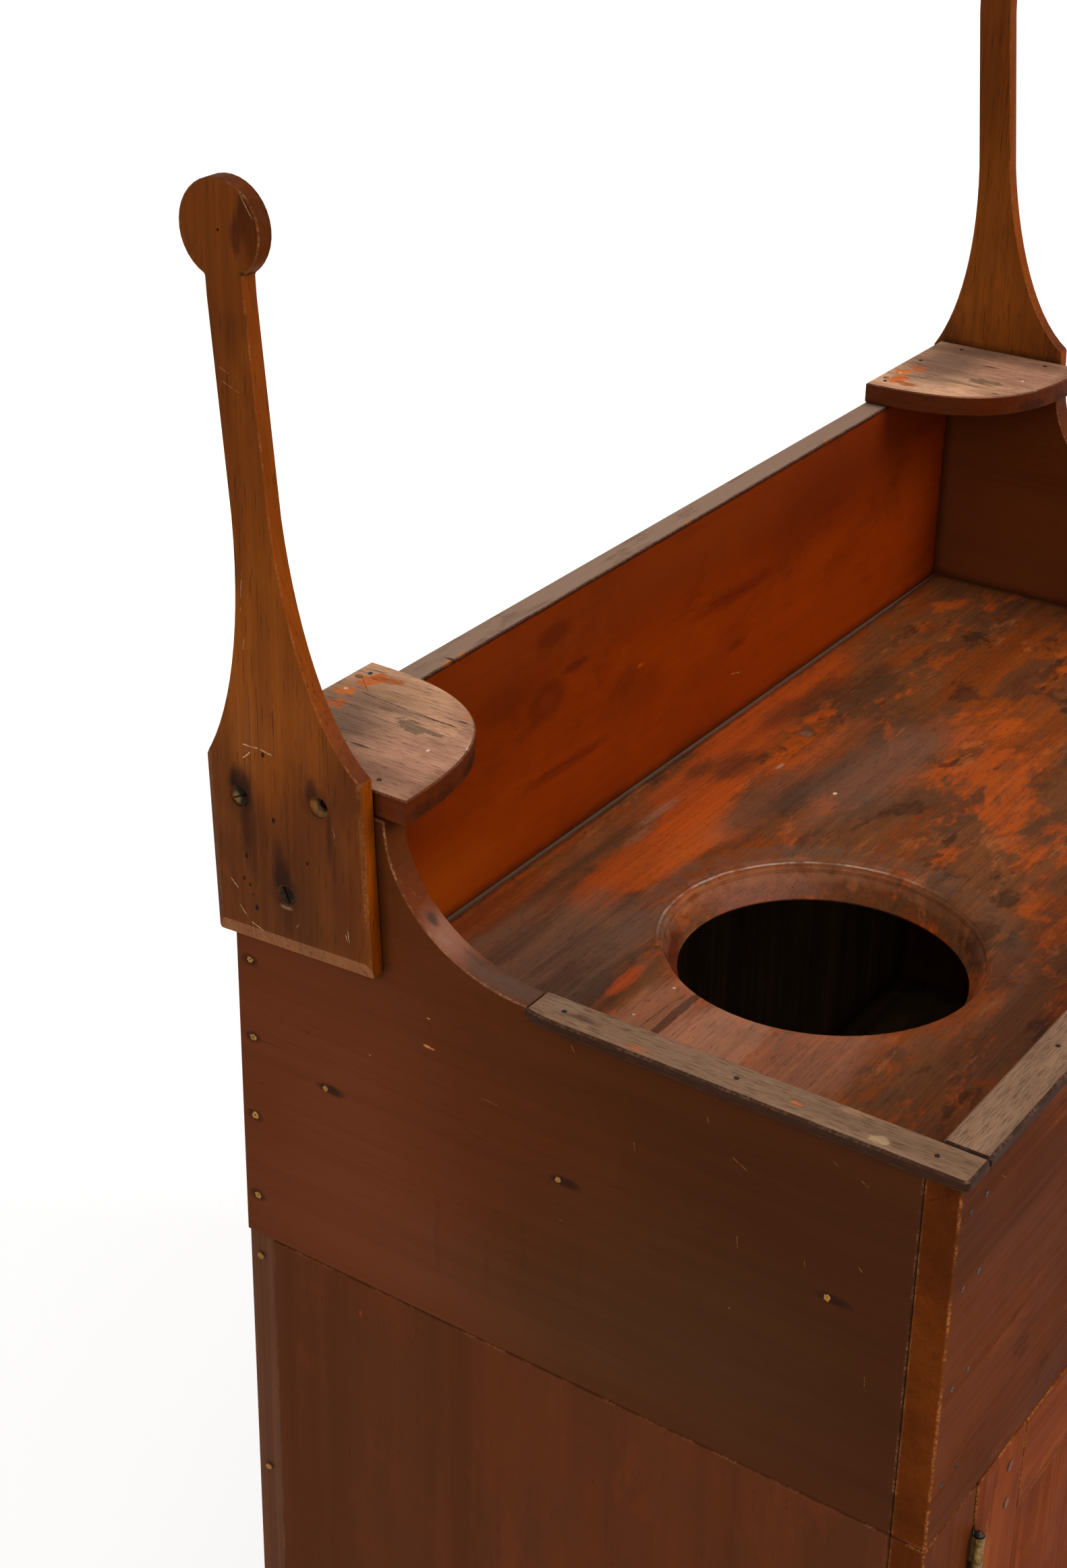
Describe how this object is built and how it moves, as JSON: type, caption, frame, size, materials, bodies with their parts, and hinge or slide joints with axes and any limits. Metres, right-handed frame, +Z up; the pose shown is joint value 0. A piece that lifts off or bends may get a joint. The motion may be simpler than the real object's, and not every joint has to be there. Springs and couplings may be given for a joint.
{
  "type": "washstand",
  "caption": "Wooden cupboard washstand with a sunk board holed for a basin, a splashboard, rounded corner shelves, leaning towel arms and a pair of framed doors.",
  "frame": {"origin": "on the floor, in the middle of the whole stand's bounding box in plan, knobs and leaning arms included", "axes": "+X to the viewer's right along the splashboard, +Y towards the back, +Z up"},
  "size_m": [0.8714, 0.4733, 1.1932],
  "materials": {
    "end_wood": "worn dark red-brown varnish over pine",
    "splash_wood": "red-orange varnish, worn grey at the edges",
    "bowl_wood": "mottled orange varnish worn through round the hole",
    "worn_wood": "grey-brown, varnish mostly worn away",
    "arm_wood": "brown varnish with worn orange edges",
    "raw_wood": "bare pine, aged",
    "door_wood": "worn dark red-brown varnish",
    "knob_wood": "dark turned wood, rubbed by hand",
    "iron": "dull, darkened steel",
    "brass": "tarnished"
  },
  "bodies": {
    "case": {"arm_screw_left_1": "iron", "arm_screw_left_2": "iron", "arm_screw_right_1": "iron", "arm_screw_right_2": "iron", "back_board_1": "raw_wood", "back_board_2": "raw_wood", "back_board_3": "raw_wood", "bottom_board": "raw_wood", "bottom_rail": "end_wood", "bowl_board": "bowl_wood", "cap_front": "worn_wood", "cap_left": "worn_wood", "cap_right": "worn_wood", "corner_block_back_left": "raw_wood", "corner_block_back_right": "raw_wood", "corner_block_front_left": "raw_wood", "corner_block_front_right": "raw_wood", "corner_shelf_left": "worn_wood", "corner_shelf_right": "worn_wood", "end_board_left": "end_wood", "end_board_right": "end_wood", "end_panel_left": "end_wood", "end_panel_right": "end_wood", "face_stile_left": "end_wood", "face_stile_right": "end_wood", "front_board": "end_wood", "inner_shelf": "raw_wood", "left_lower_hinge_frame_leaf": "brass", "left_lower_hinge_pin": "iron", "left_upper_hinge_frame_leaf": "brass", "left_upper_hinge_pin": "iron", "right_lower_hinge_frame_leaf": "brass", "right_lower_hinge_pin": "iron", "right_upper_hinge_frame_leaf": "brass", "right_upper_hinge_pin": "iron", "splashboard": "splash_wood", "towel_arm_left": "arm_wood", "towel_arm_right": "arm_wood"},
    "left_door": {"button_screw": "iron", "left_door_bottom_rail": "door_wood", "left_door_hinge_stile": "door_wood", "left_door_lock_stile": "door_wood", "left_door_panel": "door_wood", "left_door_top_rail": "door_wood", "left_knob": "knob_wood", "left_lower_hinge_door_leaf": "brass", "left_upper_hinge_door_leaf": "brass"},
    "right_door": {"right_door_bottom_rail": "door_wood", "right_door_hinge_stile": "door_wood", "right_door_lock_stile": "door_wood", "right_door_panel": "door_wood", "right_door_top_rail": "door_wood", "right_lower_hinge_door_leaf": "brass", "right_upper_hinge_door_leaf": "brass"},
    "right_latch": {"right_knob": "knob_wood", "right_latch_bar": "knob_wood"},
    "left_button": {"left_button": "knob_wood"}
  },
  "joints": [
    {"name": "left_door_hinge", "type": "hinge", "parent": "case", "child": "left_door", "pos_m": [-0.3638, -0.2108, 0.343], "axis": [0, 0, -1], "range_deg": [0, 170]},
    {"name": "right_door_hinge", "type": "hinge", "parent": "case", "child": "right_door", "pos_m": [0.3638, -0.2108, 0.343], "axis": [0, 0, 1], "range_deg": [0, 170]},
    {"name": "right_latch_turn", "type": "hinge", "parent": "right_door", "child": "right_latch", "pos_m": [0.0302, -0.1978, 0.405], "axis": [0, 1, 0], "continuous": true},
    {"name": "left_button_turn", "type": "hinge", "parent": "left_door", "child": "left_button", "pos_m": [-0.0302, -0.1834, 0.534], "axis": [0, 1, 0], "continuous": true}
  ]
}
